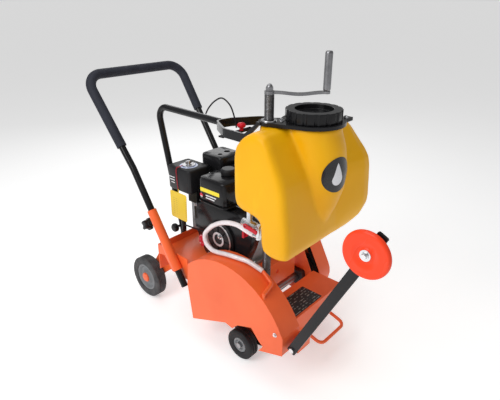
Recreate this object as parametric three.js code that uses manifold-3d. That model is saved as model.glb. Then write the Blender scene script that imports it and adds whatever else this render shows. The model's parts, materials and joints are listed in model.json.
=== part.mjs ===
// Walk-behind concrete saw: engine, water tank, blade guard and crank-lowered front wheels.
// Millimetres, +Z up, the saw travels towards -Y, its right-hand side (blade side) is -X.
import * as THREE from "three";
import { mergeVertices } from "three/addons/utils/BufferGeometryUtils.js";
import Module from "manifold-3d";

const wasm = await Module();
wasm.setup();

// ---------------------------------------------------------------- driving dimensions
const GAP = 0.3;                 // clearance between touching pieces
const PLATE = 4;                 // chassis sheet thickness

const ENGINE_DECK_Z = 288;       // top of the deck the engine is bolted to
const FRONT_DECK_Z = 190;        // top of the lower deck at the front
const REAR_WALL_Y = 349;
const FRONT_EDGE_Y = -212;
const BOX_HALF = 183;            // half width of the rear box
const WEB_RIGHT = -113.7;        // outer faces of the two chassis webs
const WEB_LEFT = 206;

const LEG_X = 199;               // handle legs, lower part
const TUBE_R = 12.5;
const SLEEVE_R = 17;
const LEG_LOW = [183, 207];      // (y, z) of the lower end of each leg
const KINK = [431, 597];
const SLEEVE_LOW = onLeg(262);
const SLEEVE_TOP = onLeg(460);
const BAR_X = 216;
const BAR = [650, 901];
const FOAM_R = 18;

const GROUND_Z = -6;
const REAR_WHEEL_R = 88;
const REAR_AXLE = [498, GROUND_Z + REAR_WHEEL_R];
const REAR_WHEEL_X = [112, 158];
const FRONT_WHEEL_R = 56;
const FRONT_AXLE = [-49, GROUND_Z + FRONT_WHEEL_R];
const FRONT_WHEEL_X = [122, 164];
const CARRIAGE_PIVOT = [155, 122];

const SHAFT = [-28, 158];        // blade shaft (y, z)
const FLANGE_R = 25;
const GUARD_CENTRE = [-22, 121];
const GUARD_R = 262;
const GUARD_X = [-198, -114];
const CRANKSHAFT = [101, 391];
const PULLEY_X = [236, 276];
const BELT_GUARD_X = [231, 301];

const SCREW = [-94, -110];       // (x, y) of the crank and its post
const POST_TOP_Z = 916;
const NECK = [0, -195];          // (x, y) of the tank filler
const COLLAR_Z = [834, 844];

const ARM_PIVOT = [-286, 185];
const ARM_TIP = [-522, 664];
const ARM_X = [-178, -170];
const DISC_CENTRE = [-493, 609];
const DISC_R = 63;

// Point (y, z) on the lower part of a handle leg at a given height.
function onLeg(z) {
  return [LEG_LOW[0] + (KINK[0] - LEG_LOW[0]) * (z - LEG_LOW[1]) / (KINK[1] - LEG_LOW[1]), z];
}

// ---------------------------------------------------------------- solid helpers
function signedVolume(geometry) {
  const p = geometry.getAttribute("position");
  const index = geometry.index.array;
  const [a, b, c] = [new THREE.Vector3(), new THREE.Vector3(), new THREE.Vector3()];
  let volume = 0;
  for (let i = 0; i < index.length; i += 3) {
    a.fromBufferAttribute(p, index[i]);
    b.fromBufferAttribute(p, index[i + 1]);
    c.fromBufferAttribute(p, index[i + 2]);
    volume += a.dot(b.cross(c)) / 6;
  }
  return volume;
}

function toSolid(geometry) {
  const bare = new THREE.BufferGeometry();
  bare.setAttribute("position", geometry.getAttribute("position").clone());
  if (geometry.index) bare.setIndex(geometry.index.clone());
  const welded = mergeVertices(bare, 1e-3);
  const triVerts = new Uint32Array(welded.index.array);
  if (signedVolume(welded) < 0) {
    for (let i = 0; i < triVerts.length; i += 3) {
      [triVerts[i + 1], triVerts[i + 2]] = [triVerts[i + 2], triVerts[i + 1]];
    }
  }
  const vertProperties = new Float32Array(welded.getAttribute("position").array);
  return new wasm.Manifold(new wasm.Mesh({ numProp: 3, vertProperties, triVerts }));
}

function toGeometry(solid) {
  const mesh = solid.getMesh();
  const geometry = new THREE.BufferGeometry();
  geometry.setAttribute("position", new THREE.BufferAttribute(new Float32Array(mesh.vertProperties), 3));
  geometry.setIndex(new THREE.BufferAttribute(new Uint32Array(mesh.triVerts), 1));
  const flat = geometry.toNonIndexed();
  flat.computeVertexNormals();
  return flat;
}

function fuse(...pieces) {
  return toGeometry(pieces.map(toSolid).reduce((sum, piece) => sum.add(piece)));
}

function cut(base, ...tools) {
  return toGeometry(tools.map(toSolid).reduce((left, tool) => left.subtract(tool), toSolid(base)));
}

function box(x0, x1, y0, y1, z0, z1) {
  const geometry = new THREE.BoxGeometry(x1 - x0, y1 - y0, z1 - z0);
  geometry.translate((x0 + x1) / 2, (y0 + y1) / 2, (z0 + z1) / 2);
  return geometry;
}

// Stands a shape that was made along +Y between two points.
function aim(geometry, from, to) {
  const a = new THREE.Vector3(...from);
  const b = new THREE.Vector3(...to);
  const turn = new THREE.Quaternion().setFromUnitVectors(
    new THREE.Vector3(0, 1, 0), b.clone().sub(a).normalize());
  geometry.applyQuaternion(turn);
  geometry.translate(...a.toArray());
  return geometry;
}

function distance(from, to) {
  return Math.hypot(to[0] - from[0], to[1] - from[1], to[2] - from[2]);
}

function cone(radiusFrom, radiusTo, from, to, sides = 20) {
  const length = distance(from, to);
  const geometry = new THREE.CylinderGeometry(radiusTo, radiusFrom, length, sides);
  geometry.translate(0, length / 2, 0);
  return aim(geometry, from, to);
}

function rod(radius, from, to, sides = 20) {
  return cone(radius, radius, from, to, sides);
}

// Turned piece: profile is a list of [radius, distance along the axis], start point at `from`.
function turned(profile, from, to, sides = 24) {
  const points = profile.map(([radius, along]) => new THREE.Vector2(radius, along));
  return aim(new THREE.LatheGeometry(points, sides), from, to);
}

function pipe(outer, inner, from, to, sides = 20) {
  const length = distance(from, to);
  const profile = [[inner, 0], [outer, 0], [outer, length], [inner, length], [inner, 0]];
  return turned(profile, from, to, sides);
}

function arc(cx, cy, radius, fromDeg, toDeg, steps) {
  const points = [];
  for (let i = 0; i <= steps; i += 1) {
    const angle = THREE.MathUtils.degToRad(fromDeg + (toDeg - fromDeg) * i / steps);
    points.push([cx + radius * Math.cos(angle), cy + radius * Math.sin(angle)]);
  }
  return points;
}

// Replaces every corner of a closed outline by a short arc-like curve.
function soften(outline, radius, steps = 3) {
  const points = [];
  outline.forEach((corner, i) => {
    const before = outline[(i + outline.length - 1) % outline.length];
    const after = outline[(i + 1) % outline.length];
    const reach = (other) => {
      const length = Math.hypot(other[0] - corner[0], other[1] - corner[1]);
      const t = Math.min(radius / length, 0.45);
      return [corner[0] + (other[0] - corner[0]) * t, corner[1] + (other[1] - corner[1]) * t];
    };
    const a = reach(before);
    const b = reach(after);
    for (let k = 0; k <= steps; k += 1) {
      const t = k / steps;
      points.push([0, 1].map((n) =>
        (1 - t) * (1 - t) * a[n] + 2 * t * (1 - t) * corner[n] + t * t * b[n]));
    }
  });
  return points;
}

function extrude(outline, depth, bevel = 0) {
  const shape = new THREE.Shape(outline.map(([a, b]) => new THREE.Vector2(a, b)));
  const settings = { depth: depth - 2 * bevel, bevelEnabled: bevel > 0 };
  if (bevel > 0) {
    Object.assign(settings, { bevelSize: bevel, bevelThickness: bevel, bevelOffset: -bevel, bevelSegments: 2 });
  }
  const geometry = new THREE.ExtrudeGeometry(shape, settings);
  geometry.translate(0, 0, bevel);
  return geometry;
}

// Outline in (y, z), thickness along X.
function plateX(outline, x0, x1, bevel = 0) {
  const geometry = extrude(outline, x1 - x0, bevel);
  const basis = new THREE.Matrix4().makeBasis(
    new THREE.Vector3(0, 1, 0), new THREE.Vector3(0, 0, 1), new THREE.Vector3(1, 0, 0));
  geometry.applyMatrix4(basis);
  geometry.translate(x0, 0, 0);
  return geometry;
}

// Outline in (x, y), thickness along Z.
function plateZ(outline, z0, z1, bevel = 0) {
  const geometry = extrude(outline, z1 - z0, bevel);
  geometry.translate(0, 0, z0);
  return geometry;
}

function rectangle(a0, a1, b0, b1, radius = 0) {
  const corners = [[a0, b0], [a1, b0], [a1, b1], [a0, b1]];
  return radius > 0 ? soften(corners, radius) : corners;
}

// A route through corner points, each corner rounded to the bend radius.
function bentRoute(corners, bend, steps) {
  const points = corners.map((corner) => new THREE.Vector3(...corner));
  const route = [points[0]];
  for (let i = 1; i < points.length - 1; i += 1) {
    const back = points[i - 1].clone().sub(points[i]).normalize();
    const on = points[i + 1].clone().sub(points[i]).normalize();
    const half = back.angleTo(on) / 2;
    const set = bend / Math.tan(half);
    const middle = back.clone().add(on).normalize().multiplyScalar(bend / Math.sin(half));
    const centre = points[i].clone().add(middle);
    const a = points[i].clone().addScaledVector(back, set).sub(centre);
    const b = points[i].clone().addScaledVector(on, set).sub(centre);
    const sweep = a.angleTo(b);
    for (let k = 0; k <= steps; k += 1) {
      const t = k / steps;
      const start = a.clone().multiplyScalar(Math.sin((1 - t) * sweep) / Math.sin(sweep));
      const end = b.clone().multiplyScalar(Math.sin(t * sweep) / Math.sin(sweep));
      route.push(centre.clone().add(start).add(end));
    }
  }
  route.push(points[points.length - 1]);
  return route;
}

class StepCurve extends THREE.Curve {
  constructor(points) {
    super();
    this.points = points;
  }
  getPoint(t) {
    return this.points[Math.round(t * (this.points.length - 1))].clone();
  }
  getPointAt(t) {
    return this.getPoint(t);
  }
  getTangentAt(t) {
    const i = Math.round(t * (this.points.length - 1));
    const last = this.points.length - 1;
    const before = this.points[Math.max(i - 1, 0)];
    const after = this.points[Math.min(i + 1, last)];
    return after.clone().sub(before).normalize();
  }
}

function tubeAlong(route, radius, sides) {
  const outline = arc(0, 0, radius, 0, 360 - 360 / sides, sides - 1);
  const shape = new THREE.Shape(outline.map(([a, b]) => new THREE.Vector2(a, b)));
  return new THREE.ExtrudeGeometry(shape, {
    steps: route.length - 1, bevelEnabled: false, extrudePath: new StepCurve(route),
  });
}

// ---------------------------------------------------------------- colours
const LOOKS = {
  orange: [0xe8552a, 0.45, 0.1],
  yellow: [0xf2b111, 0.55, 0.0],
  black: [0x17181a, 0.35, 0.2],
  plastic: [0x202225, 0.55, 0.0],
  foam: [0x23262f, 0.9, 0.0],
  rubber: [0x2b2b2d, 0.85, 0.0],
  grey: [0x6d6f72, 0.6, 0.1],
  zinc: [0xb9bcc0, 0.3, 0.9],
  steel: [0x8d9095, 0.4, 0.9],
  iron: [0x3c3f43, 0.6, 0.6],
  alloy: [0xa9acb0, 0.5, 0.8],
  red: [0xd0182a, 0.4, 0.0],
  disc: [0xff3a1c, 0.35, 0.0],
  hose: [0xe6dcdf, 0.4, 0.0],
  tag: [0xf6cf1f, 0.5, 0.0],
};

const saw = new THREE.Group();
saw.name = "saw";

// Adds a piece. `pivot` becomes the mesh's own origin, so a moving piece turns about it.
function add(name, geometry, look, pivot = [0, 0, 0]) {
  const [color, roughness, metalness] = LOOKS[look];
  const solid = toGeometry(toSolid(geometry));
  solid.translate(-pivot[0], -pivot[1], -pivot[2]);
  const mesh = new THREE.Mesh(solid, new THREE.MeshStandardMaterial({ color, roughness, metalness }));
  mesh.name = name;
  mesh.position.set(...pivot);
  saw.add(mesh);
  return mesh;
}

// ---------------------------------------------------------------- chassis
// One weldment: decks, webs, rear box, handle sleeves, wheel brackets and the front lifting bar.
function chassis() {
  const webOutline = [
    [FRONT_EDGE_Y, FRONT_DECK_Z], [-87, FRONT_DECK_Z], [-40, ENGINE_DECK_Z], [160, ENGINE_DECK_Z],
    [160, 190], [182, 150], [180, 100], [60, 84], [-80, 84], [-150, 125], [FRONT_EDGE_Y, 128],
  ];
  const web = (x0, x1) => cut(
    plateX(webOutline, x0, x1),
    rod(19, [x0 - 1, ...SHAFT], [x1 + 1, ...SHAFT]),
    rod(8.3, [x0 - 1, ...CARRIAGE_PIVOT], [x1 + 1, ...CARRIAGE_PIVOT]));
  const engineDeck = plateZ([
    [WEB_RIGHT, -40], [WEB_LEFT, -40], [WEB_LEFT, 178], [BOX_HALF, 178], [BOX_HALF, REAR_WALL_Y],
    [-BOX_HALF, REAR_WALL_Y], [-BOX_HALF, 178], [WEB_RIGHT, 178],
  ], ENGINE_DECK_Z - PLATE, ENGINE_DECK_Z);
  const frontDeck = cut(
    box(WEB_RIGHT, 218, FRONT_EDGE_Y, -87, FRONT_DECK_Z - PLATE, FRONT_DECK_Z),
    rod(11, [...SCREW, 180], [...SCREW, 195]));
  const frontFlange = box(WEB_RIGHT, 218, FRONT_EDGE_Y, FRONT_EDGE_Y + PLATE, 108, FRONT_DECK_Z);
  const leftLip = box(214, 218, FRONT_EDGE_Y, -87, 165, FRONT_DECK_Z);
  const riser = cut(
    box(1, 152, -44, -38, 196, ENGINE_DECK_Z),
    rod(8, [48, -50, 250], [48, -30, 250], 12));
  const rearWall = box(-BOX_HALF, BOX_HALF, REAR_WALL_Y - PLATE, REAR_WALL_Y, 205, 312);
  const sideOutline = [
    [180, 225], [274, 225], [291, 251], [313, 277], [REAR_WALL_Y, 271], [REAR_WALL_Y, 312], [180, 312],
  ];
  const bracketOutline = [
    [300, 286], [347, 286], [380, 256], [456, 196], [518, 104], [518, 64], [480, 64], [412, 125], [330, 190],
  ];
  const pieces = [
    web(WEB_RIGHT, WEB_RIGHT + PLATE), web(WEB_LEFT - PLATE, WEB_LEFT),
    engineDeck, frontDeck, frontFlange, leftLip, riser, rearWall,
  ];
  for (const side of [-1, 1]) {
    const [a, b] = side < 0 ? [-BOX_HALF, -BOX_HALF + PLATE] : [BOX_HALF - PLATE, BOX_HALF];
    pieces.push(plateX(sideOutline, a, b));
    const low = [side * LEG_X, ...SLEEVE_LOW];
    const top = [side * LEG_X, ...SLEEVE_TOP];
    pieces.push(rod(SLEEVE_R, low, top, 18));
    const [c, d] = side < 0 ? [-108, -102] : [102, 108];
    pieces.push(cut(plateX(bracketOutline, c, d), rod(8.3, [c - 1, ...REAR_AXLE], [d + 1, ...REAR_AXLE])));
  }
  const lug = fuse(
    box(-113, -105, -300, -208, 172, 198),
    box(-166, -105, -300, -272, 172, 198));
  pieces.push(cut(lug, rod(5.3, [-170, ...ARM_PIVOT], [-140, ...ARM_PIVOT])));
  const loop = [[-8, -209, 114], [-8, -284, 92], [136, -284, 92], [136, -209, 114]];
  pieces.push(tubeAlong(bentRoute(loop, 22, 4), 6, 8));
  const along = [0, SLEEVE_TOP[0] - SLEEVE_LOW[0], SLEEVE_TOP[1] - SLEEVE_LOW[1]];
  const bores = [-1, 1].map((side) => rod(
    TUBE_R + GAP,
    [side * LEG_X, SLEEVE_LOW[0] - along[1] * 0.2, SLEEVE_LOW[1] - along[2] * 0.2],
    [side * LEG_X, SLEEVE_TOP[0] + along[1] * 0.2, SLEEVE_TOP[1] + along[2] * 0.2], 18));
  const studs = [-1, 1].map((side) => rod(5.3, knobPoint(side, 8), knobPoint(side, 30), 12));
  return cut(fuse(...pieces), ...bores, ...studs);
}

// A point on the clamp stud of one sleeve, measured out from the sleeve's centre line.
function knobPoint(side, out) {
  const [y, z] = onLeg(425.5);
  return [side * LEG_X, y + 0.843 * out, z - 0.537 * out];
}

add("chassis", chassis(), "orange");

// ---------------------------------------------------------------- handle
const handleCorners = [
  [-LEG_X, ...LEG_LOW], [-LEG_X, ...KINK], [-BAR_X, ...BAR],
  [BAR_X, ...BAR], [LEG_X, ...KINK], [LEG_X, ...LEG_LOW],
];

function alongLeg(side, t) {
  return [
    side * (LEG_X + (BAR_X - LEG_X) * t),
    KINK[0] + (BAR[0] - KINK[0]) * t,
    KINK[1] + (BAR[1] - KINK[1]) * t,
  ];
}

add("handle_tube", tubeAlong(bentRoute(handleCorners, 58, 5), TUBE_R, 12), "black");

const foamRoute = bentRoute([alongLeg(-1, 0.235), [-BAR_X, ...BAR], [BAR_X, ...BAR], alongLeg(1, 0.44)], 58, 5);
add("handle_foam", cut(
  tubeAlong(foamRoute, FOAM_R, 12),
  tubeAlong(
    bentRoute([alongLeg(-1, 0.2), [-BAR_X, ...BAR], [BAR_X, ...BAR], alongLeg(1, 0.4)], 58, 5),
    TUBE_R + GAP, 12),
), "foam");

function clampKnob(side) {
  const star = [];
  for (let i = 0; i < 20; i += 1) {
    const angle = i * Math.PI / 10;
    const radius = i % 4 < 2 ? 23 : 17;
    star.push([radius * Math.cos(angle), radius * Math.sin(angle)]);
  }
  const head = extrude(star, 26, 3);
  head.rotateX(-Math.PI / 2);
  return fuse(
    rod(5, knobPoint(side, TUBE_R + 1), knobPoint(side, 54), 12),
    rod(10, knobPoint(side, 40), knobPoint(side, 52), 14),
    aim(head, knobPoint(side, 50), knobPoint(side, 80)));
}
add("clamp_knob_right", clampKnob(-1), "plastic", knobPoint(-1, 50));
add("clamp_knob_left", clampKnob(1), "plastic", knobPoint(1, 50));

// ---------------------------------------------------------------- rear wheels
add("rear_axle", rod(8, [-152, ...REAR_AXLE], [152, ...REAR_AXLE]), "steel", [0, ...REAR_AXLE]);

function tyre(side, [inner, outer], axle, radius, bore) {
  const width = outer - inner;
  const profile = [
    [bore, 3], [radius - 8, 0], [radius - 2, 3], [radius, 8], [radius, width - 8],
    [radius - 2, width - 3], [radius - 8, width], [bore, width - 3], [bore, 3],
  ];
  return turned(profile, [side * inner, ...axle], [side * outer, ...axle], 24);
}

const REAR_BORE = 58;

function rearRim(side) {
  const [inner, outer] = REAR_WHEEL_X;
  const width = outer - inner;
  const rim = REAR_BORE - GAP;
  const profile = [
    [8.3, 6], [40, 12], [46, 5], [rim, 5], [rim, width - 5], [50, width - 5],
    [42, width - 13], [22, width - 12], [22, width - 5], [8.3, width - 5], [8.3, 6],
  ];
  return turned(profile, [side * inner, ...REAR_AXLE], [side * outer, ...REAR_AXLE], 24);
}

for (const [label, side] of [["right", -1], ["left", 1]]) {
  const centre = [side * 135, ...REAR_AXLE];
  add(`rear_tyre_${label}`, tyre(side, REAR_WHEEL_X, REAR_AXLE, REAR_WHEEL_R, REAR_BORE), "rubber", centre);
  add(`rear_rim_${label}`, rearRim(side), "grey", centre);
  const cap = turned([[0, 0], [20, 0], [20, 4], [16, 7], [0, 7]],
    [side * 153.4, ...REAR_AXLE], [side * 162, ...REAR_AXLE]);
  add(`rear_cap_${label}`, cap, "orange", [side * 153.4, ...REAR_AXLE]);
}

// ---------------------------------------------------------------- front carriage
function frontCarriage() {
  const armCorners = [
    [172, 136], [142, 140], [-30, 76], [-122, 68], [-122, 46], [-60, 32], [-20, 34], [170, 106],
  ];
  const armOutline = soften(armCorners, 8, 2);
  const arm = (x0, x1) => cut(
    plateX(armOutline, x0, x1),
    rod(8.3, [x0 - 1, ...CARRIAGE_PIVOT], [x1 + 1, ...CARRIAGE_PIVOT]),
    rod(10.3, [x0 - 1, ...FRONT_AXLE], [x1 + 1, ...FRONT_AXLE]));
  return fuse(
    arm(-106, -98), arm(98, 106),
    box(-100, 100, -122, -98, 48, 70),
    box(-100, 100, 70, 90, 78, 96));
}
add("front_carriage", frontCarriage(), "iron", [0, ...CARRIAGE_PIVOT]);
const pivotShaft = rod(8, [-113.4, ...CARRIAGE_PIVOT], [209, ...CARRIAGE_PIVOT]);
add("carriage_pivot_shaft", pivotShaft, "steel", [0, ...CARRIAGE_PIVOT]);
add("front_axle", rod(10, [-166, ...FRONT_AXLE], [166, ...FRONT_AXLE]), "steel", [0, ...FRONT_AXLE]);

for (const [label, side] of [["right", -1], ["left", 1]]) {
  const centre = [side * 143, ...FRONT_AXLE];
  add(`front_wheel_${label}`, tyre(side, FRONT_WHEEL_X, FRONT_AXLE, FRONT_WHEEL_R, 28), "rubber", centre);
  const hub = turned([[10.3, 2], [28 - GAP, 2], [28 - GAP, 38], [22, 38], [20, 35], [10.3, 35], [10.3, 2]],
    [side * 122, ...FRONT_AXLE], [side * 164, ...FRONT_AXLE]);
  add(`front_hub_${label}`, hub, "grey", centre);
}

// ---------------------------------------------------------------- depth crank
const [SX, SY] = SCREW;
const crankDown = (z) => [SX, SY, z];

add("crank_post", fuse(
  cut(rod(13.5, crankDown(FRONT_DECK_Z + GAP), crankDown(POST_TOP_Z)),
    rod(10.5, crankDown(180), crankDown(POST_TOP_Z + 10))),
  pipe(19, 12, crankDown(FRONT_DECK_Z + GAP), crankDown(FRONT_DECK_Z + 8)),
), "steel");

add("lead_screw", fuse(
  rod(9.5, crankDown(73), crankDown(POST_TOP_Z + 1)),
  rod(6, crankDown(POST_TOP_Z - 20), crankDown(POST_TOP_Z + 22), 16),
), "zinc", crankDown(0));

const armTop = POST_TOP_Z + 10.3;
const armEnd = [SX + 104, SY - 115];
const atArmEnd = (z) => [...armEnd, z];
function crankArm() {
  const hubZ = POST_TOP_Z + 1.3;
  const reach = Math.hypot(armEnd[0] - SX, armEnd[1] - SY);
  const outline = soften([[0, -8], [reach, -8], [reach, 8], [0, 8]], 4, 1);
  const bar = plateZ(outline, 0, 7);
  bar.rotateZ(Math.atan2(armEnd[1] - SY, armEnd[0] - SX));
  bar.translate(SX, SY, hubZ + 1);
  return cut(
    fuse(rod(14, crankDown(hubZ), crankDown(armTop)), bar, rod(10, atArmEnd(hubZ + 1), atArmEnd(hubZ + 8))),
    rod(6.3, crankDown(hubZ - 5), crankDown(armTop + 5), 16),
    rod(4.3, atArmEnd(hubZ - 5), atArmEnd(armTop + 5), 12));
}
add("crank_arm", crankArm(), "zinc", crankDown(POST_TOP_Z));

const gripFoot = POST_TOP_Z + 9.6;
add("crank_grip", fuse(
  rod(4, atArmEnd(gripFoot - 7), atArmEnd(gripFoot + 4), 12),
  turned(
    [[0, 0], [9, 0], [10.5, 6], [10.5, 98], [9, 104], [0, 104]],
    atArmEnd(gripFoot), atArmEnd(gripFoot + 104), 16),
), "zinc", atArmEnd(gripFoot));

const nutZ = armTop + GAP;
add("crank_nut", cut(
  fuse(rod(11, crankDown(nutZ), crankDown(nutZ + 10), 6),
    turned([[0, 0], [9, 0], [8, 5], [4, 9], [0, 10]], crankDown(nutZ + 9), crankDown(nutZ + 19), 14)),
  rod(6.3, crankDown(nutZ - 5), crankDown(POST_TOP_Z + 22.3), 16),
), "zinc", crankDown(nutZ));

// ---------------------------------------------------------------- water tank
const [NX, NY] = NECK;

// Side profile of the tank at one station: inset for the rounded ends, the front pushed out,
// the bottom lifted and the top dropped where the left-hand end swells past the frame.
function tankProfile(inset, push, lift, drop) {
  const o = inset;
  return soften([
    [-56 - o, 592 + o], [-56 - o, 784 - o - drop * 0.6],
    [-118 - o * 0.7, 832 - o - drop], [-172, 832 - o - drop],
    [-238 + o - push, 698], [-258 + o - push * 0.7, 540],
    [-259 + o, 472 + o + lift], [-160 - o, 474 + o + lift],
    [-157 - o, 570 + o], [-138 - o, 583 + o],
  ], 30, 2);
}

const TANK_STATIONS = [
  [-192, 20, 0, 0, 0],
  [-187, 7, 0, 0, 0],
  [-174, 0, 0, 0, 0],
  [60, 0, 0, 0, 0],
  [130, 0, 18, 0, 0],
  [190, 0, 32, 8, 8],
  [224, 5, 34, 34, 26],
  [240, 14, 28, 60, 52],
  [247, 30, 20, 78, 76],
];

// Skin through the profiles at every station, closed at both ends.
function tankShell(inset) {
  const middle = 27;
  const rings = TANK_STATIONS.map(([x, round, push, lift, drop]) => {
    const at = x - Math.sign(x - middle) * inset;
    return tankProfile(round + inset, push, lift, drop).map(([y, z]) => [at, y, z]);
  });
  const count = rings[0].length;
  const vertices = rings.flat(2);
  const faces = [];
  for (let k = 0; k < rings.length - 1; k += 1) {
    for (let i = 0; i < count; i += 1) {
      const [a, b] = [k * count + i, k * count + (i + 1) % count];
      faces.push(a, a + count, b, b, a + count, b + count);
    }
  }
  const flat = (ring) => ring.map(([, y, z]) => new THREE.Vector2(y, z));
  const last = (rings.length - 1) * count;
  THREE.ShapeUtils.triangulateShape(flat(rings[0]), []).forEach(([a, b, c]) => faces.push(a, b, c));
  THREE.ShapeUtils.triangulateShape(flat(rings[rings.length - 1]), [])
    .forEach(([a, b, c]) => faces.push(last + a, last + c, last + b));
  const geometry = new THREE.BufferGeometry();
  geometry.setAttribute("position", new THREE.BufferAttribute(new Float32Array(vertices), 3));
  geometry.setIndex(faces);
  return geometry;
}

function waterTank() {
  const neckTop = COLLAR_Z[1] + 24;
  const neckFront = fuse(
    cone(20, 82, [2, -240, 585], [NX, NY, COLLAR_Z[0] - 18], 24),
    rod(83, [NX, NY, 800], [NX, NY, COLLAR_Z[0] - GAP], 32));
  const boss = rod(25, crankDown(800), crankDown(COLLAR_Z[0] - 0.4), 24);
  const neck = rod(70, [NX, NY, 800], [NX, NY, neckTop], 32);
  const tunnel = rod(19, crankDown(440), crankDown(900), 16);
  const inside = cut(tankShell(5), tunnel);
  const mouth = rod(64, [NX, NY, 780], [NX, NY, 880], 24);
  const postHole = rod(15, crankDown(440), crankDown(900), 16);
  return cut(fuse(tankShell(0), neckFront, boss, neck), inside, mouth, postHole);
}
add("water_tank", waterTank(), "yellow");

function tankCap() {
  const outline = [];
  const lobes = 16;
  for (let i = 0; i < lobes; i += 1) {
    for (const [share, radius] of [[0, 81], [0.55, 81], [0.68, 77.5], [0.87, 77.5]]) {
      const angle = (i + share) * 2 * Math.PI / lobes;
      outline.push([NX + radius * Math.cos(angle), NY + radius * Math.sin(angle)]);
    }
  }
  const base = COLLAR_Z[1];
  return cut(
    plateZ(outline, base + GAP, base + 32),
    rod(55, [NX, NY, base + 18], [NX, NY, base + 40], 28),
    rod(73, [NX, NY, base - 5], [NX, NY, base + 12], 28),
    pipe(73, 61, [NX, NY, base + 10], [NX, NY, base + 26], 28));
}
add("tank_cap", tankCap(), "plastic", [NX, NY, COLLAR_Z[1]]);

// Black weldment: collar plate round the filler, rear hoop and the two straps joining them.
function tankBracket() {
  const collar = fuse(
    rod(92, [NX, NY, COLLAR_Z[0]], [NX, NY, COLLAR_Z[1]], 40),
    rod(30, crankDown(COLLAR_Z[0]), crankDown(COLLAR_Z[1]), 24),
    plateZ([[-124, -110], [-84, -230], [-40, -120], [-72, -88]], ...COLLAR_Z),
    box(40, 100, -262, -236, ...COLLAR_Z));
  const outer = [[-124, -46], [-121, 42], [-66, 132], [-12, 118], [70, 56], [88, -46]];
  const hoopRoute = bentRoute(outer.map(([x, y]) => [x, y, 0]), 28, 4).map((p) => [p.x, p.y]);
  const half = (offset) => hoopRoute.map((p, i) => {
    const a = hoopRoute[Math.max(i - 1, 0)];
    const b = hoopRoute[Math.min(i + 1, hoopRoute.length - 1)];
    const length = Math.hypot(b[0] - a[0], b[1] - a[1]);
    return [p[0] + offset * (b[1] - a[1]) / length, p[1] - offset * (b[0] - a[0]) / length];
  });
  const hoop = plateZ([...half(-3), ...half(3).reverse()], 772, 800);
  const seat = cut(box(-122, 20, 46, 66, 768, 773), rod(7.4, [-30, 56, 760], [-30, 56, 780], 14));
  const strap = (x0, x1) => plateX([[-44, 778], [-40, 796], [-96, 843], [-100, 835]], x0, x1);
  const solid = fuse(
    collar, hoop, seat,
    strap(-127, -118), strap(82, 91),
    box(82, 91, -175, -90, 835, 842), box(30, 91, -185, -165, 835, 842), box(-127, -96, -106, -90, 835, 843));
  return cut(solid,
    rod(70.5, [NX, NY, 830], [NX, NY, 860], 32),
    rod(13.8, crankDown(830), crankDown(860)));
}
add("tank_bracket", tankBracket(), "black");

const liftCorners = [[-46, 362, 240], [-46, 362, 312], [-46, 466, 795], [-46, 137, 789]];
add("lift_tube", tubeAlong(bentRoute(liftCorners, 42, 5), 12, 10), "black");

add("stop_button", fuse(
  rod(7, [-30, 56, 770], [-30, 56, 786], 14),
  turned([[0, 0], [11, 0], [14, 4], [14, 9], [10, 14], [0, 16]], [-30, 56, 782], [-30, 56, 798], 18),
), "red", [-30, 56, 770]);

// ---------------------------------------------------------------- water line
const VX = -144;
add("water_valve", fuse(
  rod(9, [VX, -82, 587], [VX, -82, 530], 14),
  rod(13, [VX, -56, 530], [VX, -108, 530], 8),
  rod(8, [VX, -104, 530], [VX, -124, 530], 14),
  rod(8, [VX, -118, 538], [VX, -118, 490], 14),
  rod(7, [VX, -124, 498], [VX, -100, 498], 14),
  rod(4, [VX, -82, 530], [VX - 17, -82, 530], 10),
), "steel");
add("valve_lever", cut(
  fuse(rod(8, [-165, -82, 530], [-161, -82, 530], 14),
    plateX(soften([[-82, 536], [-82, 524], [-128, 516], [-130, 528]], 4, 2), -165, -161)),
  rod(4.3, [-170, -82, 530], [-155, -82, 530], 10),
), "red", [-163, -82, 530]);

const hoseRoute = [
  [-144, -98.8, 498], [-144, -92, 498.4], [-144, -64, 503], [-144, -32, 508], [-144, 14, 501], [-144, 62, 480],
  [-144, 100, 450], [-146, 122, 418], [-150, 112, 392], [-154, 82, 380], [-158, 48, 384],
  [-157, 12, 391], [-150, -32, 393], [-140, -71, 390], [-134, -102, 381],
  [-131.5, -119, 375.6], [-130.4, -124.4, 373],
];
const hosePoints = hoseRoute.map((p) => new THREE.Vector3(...p));
const hoseCurve = new THREE.CatmullRomCurve3(hosePoints, false, "centripetal");
add("water_hose", tubeAlong(hoseCurve.getSpacedPoints(26), 8, 8), "hose");

add("water_pipe", fuse(
  tubeAlong(bentRoute([[-130, -127, 371.9], [-138, -170, 350], [-190, -180, 341]], 12, 3), 6.5, 12),
  rod(5, [-189, -180, 344], [-189, -180, 322], 12),
), "orange");

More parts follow.
